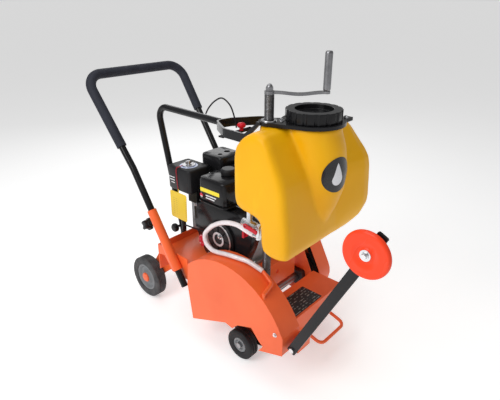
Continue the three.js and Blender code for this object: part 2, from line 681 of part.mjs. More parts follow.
// ---------------------------------------------------------------- blade guard
function bladeGuard() {
  const [x0, x1] = GUARD_X;
  const outline = [
    [150, 81], [169, 222], ...arc(...GUARD_CENTRE, GUARD_R, 46, 154, 20), [-264, 225],
    [-264, 159], [-20, 55],
  ];
  const hollow = [
    [147, 40], [147, 81], [166, 222], ...arc(...GUARD_CENTRE, GUARD_R - 3, 46, 154, 20), [-261, 225],
    [-261, 100], [-20, 20],
  ];
  const lowerCut = plateX([
    [170, 72], [-20, 154], [-52, 148], [-77, 174], [-137, 198], [-168, 164], [-186, 150],
    [-168, 124], [-280, 165], [-280, -40], [170, -40],
  ], x0 - 1, x0 + 6);
  const innerCut = box(x1 - 6, x1 + 1, -190, 120, -40, 178);
  const shell = cut(
    plateX(outline, x0, x1),
    plateX(hollow, x0 + 3, x1 - 3),
    lowerCut, innerCut,
    box(x0 - 1, x1 + 1, -300, 200, -60, 81),
    plateX([[175, 72], [-20, 154], [-20, -60], [175, -60]], x0 + 2, x1 + 1),
    plateX([[-20, 62], [-290, 172], [-290, -60], [-20, -60]], x0 + 2, x1 + 1),
    rod(5.3, [-189, -180, 300], [-189, -180, 345], 12));
  return shell;
}
add("blade_guard", bladeGuard(), "orange");

// ---------------------------------------------------------------- blade shaft and belt drive
const shaftAt = (x) => [x, ...SHAFT];
add("blade_shaft", fuse(
  rod(15, shaftAt(-170), shaftAt(285)),
  rod(FLANGE_R, shaftAt(-172), shaftAt(-166), 20),
  rod(10, shaftAt(-190), shaftAt(-168), 16),
), "steel", shaftAt(0));
add("blade_flange", pipe(FLANGE_R, 10.3, shaftAt(-178.7), shaftAt(-172.3)), "steel", shaftAt(0));
const nutBore = rod(10.3, shaftAt(-195), shaftAt(-170), 16);
add("arbor_nut", cut(rod(15, shaftAt(-188), shaftAt(-179), 6), nutBore), "zinc", shaftAt(0));

function bearing(x0, x1) {
  const outline = soften(rectangle(SHAFT[0] - 34, SHAFT[0] + 34, SHAFT[1] - 30, SHAFT[1] + 30), 14, 3);
  return cut(plateX(outline, x0, x1), rod(15.3, shaftAt(x0 - 1), shaftAt(x1 + 1)));
}
add("bearing_right", bearing(WEB_RIGHT + PLATE + GAP, -86), "iron");
add("bearing_left", bearing(178, WEB_LEFT - PLATE - GAP), "iron");

function pulley(radius, bore, [y, z]) {
  const [x0, x1] = PULLEY_X;
  const profile = [[bore, 0], [radius, 0]];
  for (const groove of [12, 28]) {
    profile.push([radius, groove - 6], [radius - 9, groove - 3]);
    profile.push([radius - 9, groove + 3], [radius, groove + 6]);
  }
  profile.push([radius, 40], [bore, 40], [bore, 0]);
  return turned(profile, [x0, y, z], [x1, y, z], 20);
}
add("shaft_pulley", pulley(60, 15.3, SHAFT), "iron", shaftAt(0));

const crankAt = (x) => [x, ...CRANKSHAFT];
add("engine_crankshaft", fuse(
  rod(11, crankAt(152.3), crankAt(285)),
  pulley(50, 8, CRANKSHAFT),
), "steel", crankAt(0));

// Outline of a band stretched round two circles, as (y, z) points.
function bandOutline(low, lowR, high, highR, steps) {
  const [dy, dz] = [high[0] - low[0], high[1] - low[1]];
  const heading = THREE.MathUtils.radToDeg(Math.atan2(dz, dy));
  const lean = THREE.MathUtils.radToDeg(Math.asin((lowR - highR) / Math.hypot(dy, dz)));
  return [
    ...arc(...high, highR, heading - 90 + lean, heading + 90 - lean, steps),
    ...arc(...low, lowR, heading + 90 - lean, heading + 270 + lean, steps),
  ];
}
add("drive_belt", cut(
  plateX(bandOutline(SHAFT, 65, CRANKSHAFT, 55, 12), 240, 272),
  plateX(bandOutline(SHAFT, 61.4, CRANKSHAFT, 51.4, 12), 239, 273),
), "rubber");

function beltGuard() {
  const [x0, x1] = BELT_GUARD_X;
  const outer = plateX(bandOutline(SHAFT, 84, CRANKSHAFT, 90, 12), x0, x1);
  const inner = plateX(bandOutline(SHAFT, 81, CRANKSHAFT, 87, 12), x0 - 1, x1 - 3);
  const foot = box(WEB_LEFT + GAP, x0 + 14, 96, 124, 222, 236);
  return fuse(cut(outer, inner), foot);
}
add("belt_guard", beltGuard(), "orange");

// ---------------------------------------------------------------- engine
add("engine_block", fuse(
  box(-38, 150, 14, 190, 300, 470),
  box(-38, 160, -2, 206, ENGINE_DECK_Z + GAP, 302),
  rod(48, crankAt(140), crankAt(152), 24),
), "alloy");

function engineCylinder() {
  const fins = [];
  for (let i = 0; i < 7; i += 1) {
    const y = 198 + i * 15;
    fins.push(box(-34, 116, y, y + 4, 326, 464));
  }
  return fuse(box(-22, 104, 190 + GAP, 300, 338, 452), box(-30, 112, 292, 322, 332, 458), ...fins);
}
add("engine_cylinder", engineCylinder(), "iron");

const shroudOutline = soften([
  [191, 291], [12, 291], [-26, 380], [-40, 425], [-40, 482], [22, 506], [186, 506], [246, 476], [243, 392],
], 16, 3);
add("fan_shroud", plateX(shroudOutline, -88, -38.3, 8), "plastic");

function recoilCover() {
  const slots = [];
  for (let i = 0; i < 8; i += 1) {
    const angle = i * Math.PI / 4;
    const c = [Math.cos(angle), Math.sin(angle)];
    const at = (r) => [CRANKSHAFT[0] + r * c[0], CRANKSHAFT[1] + r * c[1]];
    const [a, b] = [at(28), at(50)];
    slots.push(rod(3.4, [-103, ...a], [-103, ...b], 6));
  }
  const disc = turned([[0, 0], [66, 0], [66, 9], [58, 15], [0, 15]], crankAt(-88.3), crankAt(-110), 24);
  return cut(disc, ...slots);
}
add("recoil_cover", recoilCover(), "plastic");

add("recoil_grip", fuse(
  rod(3, [-95, 168, 389], [-95, 292, 379], 10),
  turned([[0, 0], [6, 0], [9, 8], [9, 48], [6, 56], [0, 56]], [-95, 296, 351], [-95, 296, 407], 14),
), "plastic", [-95, 296, 379]);

add("fuel_tank", fuse(
  plateZ(rectangle(-109, 112, 59, 190, 24), 515, 606, 12),
  plateZ(rectangle(-113, 116, 55, 194, 26), 516, 521),
  box(-60, 60, 78, 172, 506.3, 520),
), "black");
const capProfile = [[0, 0], [24, 0], [27, 4], [27, 18], [22, 23], [0, 23]];
const capFoot = [-30, 118, 606.3];
add("fuel_cap", turned(capProfile, capFoot, [-30, 118, 640], 22), "plastic", capFoot);

add("air_cleaner", fuse(
  plateZ(rectangle(-104, 0, 238, 362, 18), 515, 605, 8),
  box(-62, -12, 252, 300, 464 + GAP, 520),
), "plastic");
add("air_cleaner_knob", fuse(
  rod(24, [-58, 292, 605.3], [-58, 292, 610], 28),
  rod(7, [-58, 292, 608], [-58, 292, 622], 12),
  box(-70, -46, 289, 295, 612, 623),
), "grey", [-58, 292, 605.3]);

add("muffler", cut(
  fuse(plateZ(rectangle(16, 130, 198, 312, 22), 560, 632, 8),
    rod(15, [70, 240, 464.3], [70, 240, 566], 14)),
  rod(9, [50, 240, 600], [50, 240, 640], 14),
  rod(12, [92, 246, 600], [92, 246, 640], 14),
), "black");

add("engine_switch", fuse(
  rod(12, [-88.3, -16, 452], [-94, -16, 452], 16),
  box(-104, -92, -20, -12, 440, 464),
), "red", [-90, -16, 452]);

function hangTag() {
  const card = plateX(soften([[350, 510], [351, 402], [262, 402], [258, 510]], 5, 1), -106, -105);
  return fuse(card, box(-106, -104.3, 300, 304, 500, 524));
}
add("hang_tag", hangTag(), "tag");

add("control_cable", tubeAlong(new THREE.CatmullRomCurve3([
  [-46, 203, 805], [-46, 190, 824], [-45, 160, 852], [-42, 128, 866], [-38, 98, 848],
  [-35, 82, 812], [-33, 75, 778],
].map((p) => new THREE.Vector3(...p))).getSpacedPoints(12), 2.5, 6), "black");

// ---------------------------------------------------------------- front pointer
function pointerArm() {
  const [y0, z0] = ARM_PIVOT;
  const [dy, dz] = [ARM_TIP[0] - y0, ARM_TIP[1] - z0];
  const length = Math.hypot(dy, dz);
  const [u, v] = [dy / length, dz / length];
  const at = (along, across) => [y0 + u * along - v * across, z0 + v * along + u * across];
  const outline = soften([at(-13, -15), at(length, -15), at(length, 15), at(-13, 15)], 3, 1);
  return cut(plateX(outline, ...ARM_X),
    rod(5.3, [-190, ...ARM_PIVOT], [-160, ...ARM_PIVOT], 12),
    rod(4.3, [-190, ...DISC_CENTRE], [-160, ...DISC_CENTRE], 12));
}
add("pointer_arm", pointerArm(), "iron", [-174, ...ARM_PIVOT]);
add("pointer_bolt", fuse(
  rod(5, [-184, ...ARM_PIVOT], [-146, ...ARM_PIVOT], 12),
  rod(9, [-184, ...ARM_PIVOT], [-178.3, ...ARM_PIVOT], 6),
), "zinc", [-174, ...ARM_PIVOT]);
add("pointer_disc", turned([
  [5, 0], [16, 0], [16, 5], [30, 8], [DISC_R - 6, 8], [DISC_R, 2], [DISC_R, 8], [DISC_R - 5, 14],
  [30, 15], [16, 12], [5, 12], [5, 0],
], [-185, ...DISC_CENTRE], [-220, ...DISC_CENTRE], 28), "disc", [-190, ...DISC_CENTRE]);
add("disc_bolt", fuse(
  rod(4, [-204, ...DISC_CENTRE], [-163, ...DISC_CENTRE], 12),
  rod(10, [-200, ...DISC_CENTRE], [-197.3, ...DISC_CENTRE], 16),
  rod(7.5, [-206, ...DISC_CENTRE], [-199, ...DISC_CENTRE], 6),
  rod(7.5, [-169.7, ...DISC_CENTRE], [-163, ...DISC_CENTRE], 6),
), "zinc", [-190, ...DISC_CENTRE]);

// ---------------------------------------------------------------- centre the saw on its bounding box
const bounds = new THREE.Box3().setFromObject(saw);
saw.position.set(-(bounds.min.x + bounds.max.x) / 2, -(bounds.min.y + bounds.max.y) / 2, -bounds.min.z);

const part = new THREE.Group();
part.name = "concrete_saw";
part.add(saw);
export default part;
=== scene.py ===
# %% [markdown]
# # A walk-behind concrete saw
# The saw is a welded steel frame with a petrol engine, a moulded water tank, a blade guard and
# front wheels that a crank lowers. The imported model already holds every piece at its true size,
# so this lesson keeps those sizes and adds what a viewer sees: rounded edges, smooth turned
# parts, hoses, small fasteners and worked finishes.
# %% Load the frame
import json
import math

import bmesh
import bpy
from mathutils import Matrix, Vector
from mathutils.bvhtree import BVHTree


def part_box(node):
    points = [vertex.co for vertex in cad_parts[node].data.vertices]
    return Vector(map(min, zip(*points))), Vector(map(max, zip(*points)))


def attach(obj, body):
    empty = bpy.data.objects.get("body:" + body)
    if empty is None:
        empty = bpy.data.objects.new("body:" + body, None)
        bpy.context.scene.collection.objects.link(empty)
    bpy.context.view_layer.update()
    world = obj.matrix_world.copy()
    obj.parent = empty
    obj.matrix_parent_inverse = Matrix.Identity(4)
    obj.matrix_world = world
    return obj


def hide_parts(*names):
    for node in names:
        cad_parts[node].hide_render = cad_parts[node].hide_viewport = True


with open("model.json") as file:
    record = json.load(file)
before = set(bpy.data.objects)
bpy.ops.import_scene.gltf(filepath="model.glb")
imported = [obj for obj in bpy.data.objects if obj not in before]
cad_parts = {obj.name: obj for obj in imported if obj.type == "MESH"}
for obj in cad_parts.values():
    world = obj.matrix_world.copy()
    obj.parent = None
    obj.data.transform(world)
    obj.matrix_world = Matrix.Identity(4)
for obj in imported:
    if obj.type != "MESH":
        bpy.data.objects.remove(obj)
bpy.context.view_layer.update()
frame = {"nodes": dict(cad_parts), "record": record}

record = frame["record"]
BODY = {node: body for body, nodes in record["behaviour"]["bodies"].items() for node in nodes}
scene = bpy.context.scene

# %% [markdown]
# The saw was designed in millimetres about its own middle line, with X to the left, Y to the
# rear and Z up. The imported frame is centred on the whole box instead. One known piece, the rear
# axle, gives the step between the two, so every later place can be said in design millimetres.
# %% Design millimetres to frame metres
MM = 0.001
AXLE_CENTRE = Vector((0, 498, 82))
axle_low, axle_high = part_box("rear_axle")
ORIGIN = (Vector(axle_low) + Vector(axle_high)) / 2 - AXLE_CENTRE * MM


def at(x, y, z):
    return ORIGIN + Vector((x, y, z)) * MM


print("design origin in the frame", tuple(round(v, 4) for v in ORIGIN))

# %% [markdown]
# The camera stands to the right of the saw and ahead of it, a little above handle height, and
# looks down across the blade guard. It is placed before anything is made, so that each piece
# can be judged in the view as it is added. Colours are shown by the plain Standard transform,
# because a filmic one washes out strong paint colours like these.
# %% Camera
VIEW_TURN = math.radians(-47.8)
VIEW_DOWN = math.radians(24.2)
camera_data = bpy.data.cameras.new("camera")
camera_data.sensor_width = 36
camera_data.lens = 32.4
camera = bpy.data.objects.new("camera", camera_data)
camera.location = at(-1044, -900, 1156)
camera.rotation_euler = (math.pi / 2 - VIEW_DOWN, 0, VIEW_TURN)
scene.collection.objects.link(camera)
scene.camera = camera
scene.view_settings.view_transform = "Standard"
print("camera at", tuple(round(v, 3) for v in camera.location))

# %% [markdown]
# ## Finishes
# A finish is a small recipe of shader nodes. Two helpers keep the recipes readable. `Wire`
# wraps a socket so that masks can be written as sums and products. `Finish` starts a material
# and adds any other node in one call, settings first and socket values after.
# %% Shader helpers
class Wire:
    def __init__(self, finish, socket):
        self.finish = finish
        self.socket = socket

    def maths(self, operation, other, swap=False):
        pair = (other, self) if swap else (self, other)
        return self.finish.node("ShaderNodeMath", {"operation": operation}, {0: pair[0], 1: pair[1]})

    def __add__(self, other):
        return self.maths("ADD", other)

    def __rsub__(self, other):
        return self.maths("SUBTRACT", other, swap=True)

    def __mul__(self, other):
        return self.maths("MULTIPLY", other)

    def __pow__(self, other):
        return self.maths("POWER", other)

    __radd__ = __add__
    __rmul__ = __mul__


class Finish:
    def __init__(self, name):
        self.material = bpy.data.materials.new(name)
        self.material.use_nodes = True
        self.tree = self.material.node_tree
        self.shader = self.tree.nodes["Principled BSDF"]
        self.place = self.node("ShaderNodeTexCoord", out="Object")

    def node(self, kind, settings=None, sockets=None, out=0):
        made = self.tree.nodes.new(kind)
        for key, value in (settings or {}).items():
            if key == "stops":
                ramp = made.color_ramp
                ramp.elements[0].position, ramp.elements[0].color = value[0]
                ramp.elements[1].position, ramp.elements[1].color = value[-1]
                for position, colour in value[1:-1]:
                    ramp.elements.new(position).color = colour
            else:
                setattr(made, key, value)
        for key, value in (sockets or {}).items():
            self.feed(made.inputs[key], value)
        return Wire(self, made.outputs[out])

    def feed(self, socket, value):
        if isinstance(value, Wire):
            self.tree.links.new(value.socket, socket)
        else:
            socket.default_value = value

    def scaled(self, x, y, z):
        return self.node("ShaderNodeMapping", None, {"Vector": self.place, "Scale": (x, y, z)})

    def noise(self, scale, detail=3.0, rough=0.55, where=None):
        return self.node("ShaderNodeTexNoise", None, {
            "Vector": where or self.place, "Scale": scale, "Detail": detail, "Roughness": rough,
        }, out="Fac")

    def cells(self, scale, where=None):
        return self.node("ShaderNodeTexVoronoi", None, {
            "Vector": where or self.place, "Scale": scale,
        }, out="Distance")

    def band(self, wire, low, high):
        return self.node("ShaderNodeMapRange", None, {
            "Value": wire, "From Min": low, "From Max": high, "To Min": 0.0, "To Max": 1.0})

    def axis(self, name):
        return self.node("ShaderNodeSeparateXYZ", None, {"Vector": self.place}, out=name)

    def blend(self, mask, first, second):
        made = self.tree.nodes.new("ShaderNodeMix")
        made.data_type = "RGBA"
        self.feed(made.inputs[0], mask)
        for socket, value in ((made.inputs[6], first), (made.inputs[7], second)):
            self.feed(socket, value if isinstance(value, Wire) else (*value, 1.0))
        return Wire(self, made.outputs[2])

    def bump(self, height, strength, distance=0.001):
        relief = self.node("ShaderNodeBump", None, {
            "Height": height, "Strength": strength, "Distance": distance})
        self.feed(self.shader.inputs["Normal"], relief)

    def set(self, **values):
        for key, value in values.items():
            name = key.replace("_", " ")
            if key == "Base_Color" and not isinstance(value, Wire):
                value = (*value, 1.0)
            self.feed(self.shader.inputs[name], value)
        return self.material


# %% [markdown]
# Powder coat is a thick even paint. Close up it has a faint orange-peel surface, a little dust
# that dulls it in patches and fine scuffs where hands and boots have rubbed. Broad noise makes
# the dust, stretched fine noise makes the scuffs, and a tiny bump makes the peel.
# %% Powder coat
def powder_coat(name, colour, shade, roughness, peel=0.12, dust=0.05, gloss=0.35):
    f = Finish(name)
    patches = f.band(f.noise(5.0, 4.0), 0.35, 0.7)
    scuffs = f.band(f.noise(60.0, 6.0, 0.7, f.scaled(1, 0.35, 3)), 0.62, 0.75)
    specks = f.band(f.cells(420.0), 0.12, 0.05)
    base = f.blend(patches, colour, shade)
    dusty = f.blend(scuffs * dust + specks * dust, base, (0.55, 0.5, 0.45))
    f.bump(f.noise(900.0, 2.0) * 0.6 + f.noise(180.0, 2.0) * 0.4, peel, 0.0006)
    return f.set(Base_Color=dusty, Roughness=patches * 0.1 + scuffs * 0.12 + roughness,
                 Specular_IOR_Level=gloss, Coat_Weight=gloss * 0.4, Coat_Roughness=0.15)


orange_coat = powder_coat("orange_coat", (0.95, 0.15, 0.035), (0.84, 0.12, 0.028), 0.36)
black_coat = powder_coat("black_coat", (0.008, 0.008, 0.009), (0.016, 0.016, 0.018), 0.14,
                         peel=0.05, gloss=0.2)
print("powder coats ready")

# %% [markdown]
# The tank is rotationally moulded polyethylene: yellow right through, satin, slightly mottled
# where the skin cooled unevenly, and softly dimpled like fruit peel. Injection-moulded caps and
# covers are blacker, with a tighter grain. No light is let into any of them: cloudy changes of
# colour and roughness give the soft look more plainly.
# %% Moulded plastics
def moulded(name, colour, shade, roughness, grain, depth):
    f = Finish(name)
    clouds = f.band(f.noise(3.5, 3.0), 0.3, 0.72)
    streaks = f.band(f.noise(22.0, 4.0, 0.6, f.scaled(1, 1, 0.3)), 0.55, 0.8)
    base = f.blend(clouds, colour, shade)
    rubbed = f.blend(streaks * 0.12, base, tuple(min(1.0, c * 1.6 + 0.03) for c in colour))
    f.bump(f.cells(grain) * 0.5 + f.noise(grain * 0.4, 2.0) * 0.5, depth, 0.0007)
    return f.set(Base_Color=rubbed, Roughness=clouds * 0.08 + streaks * 0.08 + roughness,
                 Specular_IOR_Level=0.24)


tank_yellow = moulded("tank_yellow", (0.93, 0.48, 0.002), (0.84, 0.4, 0.002), 0.38, 260.0, 0.16)
black_plastic = moulded("black_plastic", (0.009, 0.009, 0.01), (0.018, 0.018, 0.02), 0.3, 900.0, 0.12)
cap_plastic = moulded("cap_plastic", (0.007, 0.007, 0.008), (0.012, 0.012, 0.013), 0.16, 500.0, 0.04)
grey_plastic = moulded("grey_plastic", (0.24, 0.25, 0.26), (0.19, 0.2, 0.21), 0.5, 700.0, 0.14)
red_plastic = moulded("red_plastic", (0.62, 0.01, 0.025), (0.5, 0.008, 0.02), 0.28, 800.0, 0.05)
disc_plastic = moulded("disc_plastic", (0.96, 0.07, 0.018), (0.9, 0.05, 0.014), 0.24, 500.0, 0.05)
print("plastics ready")

# %% [markdown]
# Rubber and foam scatter light on a rough skin. Tyre rubber carries dust in its pores and a
# chalky bloom. The handle sleeve is closed-cell foam, which is a tight field of tiny bubbles.
# %% Rubber and foam
def rubber(name, colour, bloom, pores, depth, amount=0.35):
    f = Finish(name)
    dusty = f.band(f.noise(26.0, 5.0, 0.65), 0.4, 0.75)
    fine = f.cells(pores)
    base = f.blend(dusty * amount, colour, bloom)
    f.bump(fine * 0.7 + f.noise(pores * 0.5) * 0.3, depth, 0.0008)
    return f.set(Base_Color=base, Roughness=dusty * 0.12 + 0.62, Specular_IOR_Level=0.3)


rear_rubber = rubber("rear_rubber", (0.042, 0.042, 0.045), (0.16, 0.155, 0.155), 600.0, 0.25, 0.6)
front_rubber = rubber("front_rubber", (0.012, 0.012, 0.014), (0.07, 0.068, 0.066), 600.0, 0.2)
belt_rubber = rubber("belt_rubber", (0.02, 0.02, 0.02), (0.06, 0.06, 0.06), 900.0, 0.3)
foam_sleeve = rubber("foam_sleeve", (0.016, 0.018, 0.028), (0.04, 0.043, 0.06), 1500.0, 0.45, 0.5)
print("rubbers ready")

# %% [markdown]
# Metals differ mostly in how their surface was made. Zinc plate is bright with cloudy patches,
# ground steel has fine lines across it, castings are pitted, and a die casting is pale and even.
# %% Metals
METAL_GRAIN = 120.0


def metal(name, colour, tint, roughness, lines=(1, 1, 1), pits=0.0):
    f = Finish(name)
    clouds = f.band(f.noise(30.0, 4.0), 0.35, 0.7)
    drawn = f.noise(METAL_GRAIN, 4.0, 0.6, f.scaled(*lines))
    grime = f.band(f.noise(14.0, 6.0, 0.7), 0.58, 0.74)
    base = f.blend(clouds, colour, tint)
    worn = f.blend(grime * 0.35, base, (0.06, 0.055, 0.05))
    f.bump(drawn + f.cells(METAL_GRAIN * 3) * pits, 0.12 + pits * 0.3, 0.0005)
    return f.set(Base_Color=worn, Metallic=1.0 - grime * 0.4,
                 Roughness=drawn * 0.18 + grime * 0.25 + roughness)


zinc = metal("zinc_plate", (0.72, 0.73, 0.74), (0.6, 0.61, 0.63), 0.16, (1, 1, 0.2))
ground_steel = metal("ground_steel", (0.42, 0.42, 0.43), (0.34, 0.34, 0.35), 0.26, (0.1, 4, 4))
casting = metal("dark_casting", (0.07, 0.07, 0.075), (0.11, 0.11, 0.115), 0.42, pits=0.8)
die_cast = metal("die_cast", (0.4, 0.41, 0.42), (0.3, 0.31, 0.32), 0.4, pits=0.5)
crank_steel = metal("crank_steel", (0.3, 0.3, 0.31), (0.2, 0.2, 0.21), 0.28, (1, 1, 0.2), 0.2)
silver_trim = metal("silver_trim", (0.6, 0.6, 0.62), (0.48, 0.48, 0.5), 0.22, (4, 1, 1))
print("metals ready")

# %% [markdown]
# The crank post is threaded all the way up. A sine of height stands for the thread: it raises the
# crests above the roots in the bump, and the colour follows it, with painted highlights on the crests and
# painted shade in the roots. Patches of oil dull the steel.
# %% Threaded crank post
THREAD_PITCH = 0.0035


def threaded_post():
    f = Finish("threaded_post")
    height = f.axis("Z")
    ridge = f.node("ShaderNodeMath", {"operation": "SINE"}, {0: height * (2 * math.pi / THREAD_PITCH)})
    oil = f.band(f.noise(50.0, 4.0), 0.35, 0.65)
    # Painted shade and highlight: the thread roots are coloured dark and the crests pale, following the ridge
    # sine.
    base = f.blend(f.band(ridge, -0.6, 1.0), (0.05, 0.05, 0.053), (0.3, 0.3, 0.31))
    f.bump(ridge, 0.7, 0.0007)
    oily = f.blend(oil * 0.5, base, (0.05, 0.045, 0.04))
    return f.set(Base_Color=oily, Metallic=0.85, Roughness=oil * 0.15 + 0.26)


post_thread = threaded_post()
print("post thread ready")

# %% [markdown]
# The hose is milky PVC, pale and glossy, with soft patches where water has stained it inside. The
# card is for the hang tag. Its bars are ruled by height and broken by noise, so it has no words.
# %% Hose and card
def milky_hose():
    f = Finish("milky_hose")
    stain = f.band(f.noise(24.0, 4.0, 0.6), 0.35, 0.7)
    base = f.blend(stain, (0.86, 0.8, 0.82), (0.68, 0.6, 0.62))
    f.bump(f.noise(220.0, 2.0), 0.08, 0.0006)
    return f.set(Base_Color=base, Roughness=stain * 0.1 + 0.2, Coat_Weight=0.4, Coat_Roughness=0.1)


def printed_card(name, colour, ink, low, high, lines, strength=0.75):
    """Plain card with ruled bars between two heights, in metres."""
    f = Finish(name)
    height = f.axis("Z")
    share = f.band(height, low, high)
    rule = f.node("ShaderNodeMath", {"operation": "FRACT"}, {0: share * lines})
    bar = f.band(rule, 0.62, 0.7)
    broken = f.band(f.noise(70.0, 1.0, 0.5, f.scaled(1, 1, 0.02)), 0.42, 0.5)
    fibre = f.noise(400.0, 3.0)
    base = f.blend(bar * broken * strength, colour, ink)
    f.bump(fibre, 0.06, 0.0004)
    return f.set(Base_Color=base, Roughness=fibre * 0.1 + 0.38)


hose_wall = milky_hose()
tag_low, tag_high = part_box("hang_tag")
tag_card = printed_card("tag_card", (0.86, 0.6, 0.02), (0.2, 0.14, 0.02),
                        tag_low[2] + 0.012, tag_high[2] - 0.04, 9, 0.35)
print("hose and card ready")

# %% [markdown]
# ## Making pieces
# Every finished piece goes through `settle`. It shades the piece smooth, leaves real corners
# sharp, puts the piece on the body it moves with and hides the imported nodes it stands for.
# %% Settling a piece
def settle(name, source, finish, node, stands_for=(), sharp=35):
    if isinstance(source, bmesh.types.BMesh):
        mesh = bpy.data.meshes.new(name)
        source.to_mesh(mesh)
        source.free()
    else:
        mesh = source
    mesh.materials.clear()
    mesh.materials.append(finish)
    mesh.shade_smooth()
    mesh.set_sharp_from_angle(angle=math.radians(sharp))
    piece = bpy.data.objects.new(name, mesh)
    scene.collection.objects.link(piece)
    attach(piece, BODY[node])
    if stands_for:
        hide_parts(*stands_for)
    return piece


# %% [markdown]
# Sheet steel and castings never have knife edges. `refined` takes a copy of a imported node, joins
# its loose triangles, clears the lines across flat faces and lets a bevel round every real edge.
# The rounded edge is what catches the light and makes a part look made rather than drawn.
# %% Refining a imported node
def merged_copy(node):
    bm = bmesh.new()
    bm.from_mesh(frame["nodes"][node].data)
    bmesh.ops.remove_doubles(bm, verts=bm.verts, dist=2e-6)
    bmesh.ops.dissolve_limit(bm, angle_limit=math.radians(0.8), verts=bm.verts, edges=bm.edges)
    return bm


def refined(node, finish, edge=1.0, segments=2, sharp=32):
    piece = settle(f"{node}_skin", merged_copy(node), finish, node, (node,), sharp)
    rounding = piece.modifiers.new("rounded_edges", "BEVEL")
    rounding.width = edge * MM
    rounding.segments = segments
    rounding.limit_method = "ANGLE"
    rounding.angle_limit = math.radians(sharp)
    rounding.harden_normals = True
    rounding.use_clamp_overlap = True
    return piece


for node in ("chassis", "blade_guard", "belt_guard"):
    refined(node, orange_coat, 1.1)
for node in ("tank_bracket", "front_carriage", "pointer_arm"):
    refined(node, black_coat, 1.0)
for node in ("clamp_knob_right", "clamp_knob_left", "recoil_cover", "fuel_cap", "recoil_grip"):
    refined(node, black_plastic, 0.9)
for node in ("fan_shroud", "fuel_tank", "muffler"):
    refined(node, black_coat, 1.6, 3)
for node in ("engine_block", "engine_cylinder"):
    refined(node, die_cast, 0.8)
refined("air_cleaner", black_plastic, 1.5, 3)
refined("air_cleaner_knob", silver_trim, 0.8)
refined("tank_cap", cap_plastic, 1.6, 3)
for node in ("water_valve", "arbor_nut", "pointer_bolt", "disc_bolt"):
    refined(node, zinc, 0.6)
for node in ("valve_lever", "stop_button", "engine_switch"):
    refined(node, red_plastic, 0.9)
for node in ("bearing_right", "bearing_left"):
    refined(node, casting, 1.2)
refined("hang_tag", tag_card, 0.2, 1)
print("refined nodes are in place")

# %% [markdown]
# Shafts, pulleys, flanges and the belt are already simple turned or banded shapes and sit deep
# inside the guards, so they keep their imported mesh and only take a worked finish.
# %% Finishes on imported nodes
def dress(node, finish):
    mesh = frame["nodes"][node].data
    mesh.materials.clear()
    mesh.materials.append(finish)


for node in ("rear_axle", "carriage_pivot_shaft", "front_axle", "blade_shaft", "blade_flange",
             "engine_crankshaft"):
    dress(node, ground_steel)
dress("shaft_pulley", casting)
dress("drive_belt", belt_rubber)
dress("lead_screw", zinc)
print("inner nodes dressed")


# %% [markdown]
# ## The water tank
# The tank is one moulded skin whose walls flow into each other. A voxel remesh of the packed
# solid followed by smoothing gives just that: every corner melts into a soft radius, and the
# filler neck grows out of the shoulder without a seam. A wall as thin as a voxel would come out
# torn, so the inner wall is taken out first and the remesh meets one thick solid. A stack of rings
# below the filler, merged by the same remesh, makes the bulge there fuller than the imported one.
# %% Water tank
FILLER = (0, -195)
MOUTH_RADIUS, MOUTH_FLOOR, MOUTH_RIM = 64.4, 779.5, 867.5
POST, POST_TUNNEL = (-94, -110), 20
RING_STEPS = 48
BULGE = [
    (*FILLER, 818, 82), (8, -204, 770, 85), (12, -210, 705, 86),
    (13, -214, 645, 78), (9, -221, 590, 56), (4, -232, 540, 24),
]


def add_bulge(bm):
    """Closed stack of rings (x, y, z, radius) below the filler."""
    angles = [math.tau * k / RING_STEPS for k in range(RING_STEPS)]
    rings = []
    for x, y, z, radius in BULGE:
        spots = [at(x + radius * math.cos(a), y + radius * math.sin(a), z) for a in angles]
        rings.append([bm.verts.new(spot) for spot in spots])
    bm.faces.new(rings[0])
    bm.faces.new(rings[-1][::-1])
    for upper, lower in zip(rings, rings[1:]):
        for k in range(RING_STEPS):
            bm.faces.new((upper[k - 1], lower[k - 1], lower[k], upper[k]))


def close_cavity(bm):
    """Takes out the inner wall, spreading over it face by face from the filler mouth."""
    axis, foot, rim = at(*FILLER, 0), at(0, 0, MOUTH_FLOOR).z, at(0, 0, MOUTH_RIM).z

    def in_mouth(face):
        reach = max(math.hypot(v.co.x - axis.x, v.co.y - axis.y) for v in face.verts)
        return reach < MOUTH_RADIUS * MM and min(v.co.z for v in face.verts) > foot

    def looks_in(face):
        """True for faces turned to the tank's middle line and for the post tunnel's wall."""
        spot = face.calc_center_median()
        middle = at(0, -160, 650)
        middle.x = min(max(spot.x, at(-150, 0, 0).x), at(200, 0, 0).x)
        post = at(*POST, 0)
        round_post = math.hypot(spot.x - post.x, spot.y - post.y) < POST_TUNNEL * MM
        return round_post or face.normal.dot((middle - spot).normalized()) > -0.2

    bm.normal_update()
    mouth = {face for face in bm.faces if in_mouth(face)}
    wave = {other for face in mouth for edge in face.edges for other in edge.link_faces} - mouth
    wave = {face for face in wave if min(v.co.z for v in face.verts) < rim and looks_in(face)}
    inner = set()
    while wave:
        inner |= wave
        wave = {other for face in wave for edge in face.edges for other in edge.link_faces} - inner - mouth
        wave = {face for face in wave if looks_in(face)}
    bmesh.ops.delete(bm, geom=list(inner), context="FACES")
    bmesh.ops.holes_fill(bm, edges=[edge for edge in bm.edges if len(edge.link_faces) == 1], sides=0)
    still_open = sum(edge.is_boundary for edge in bm.edges)
    print("inner wall faces taken out:", len(inner), "open edges left:", still_open)


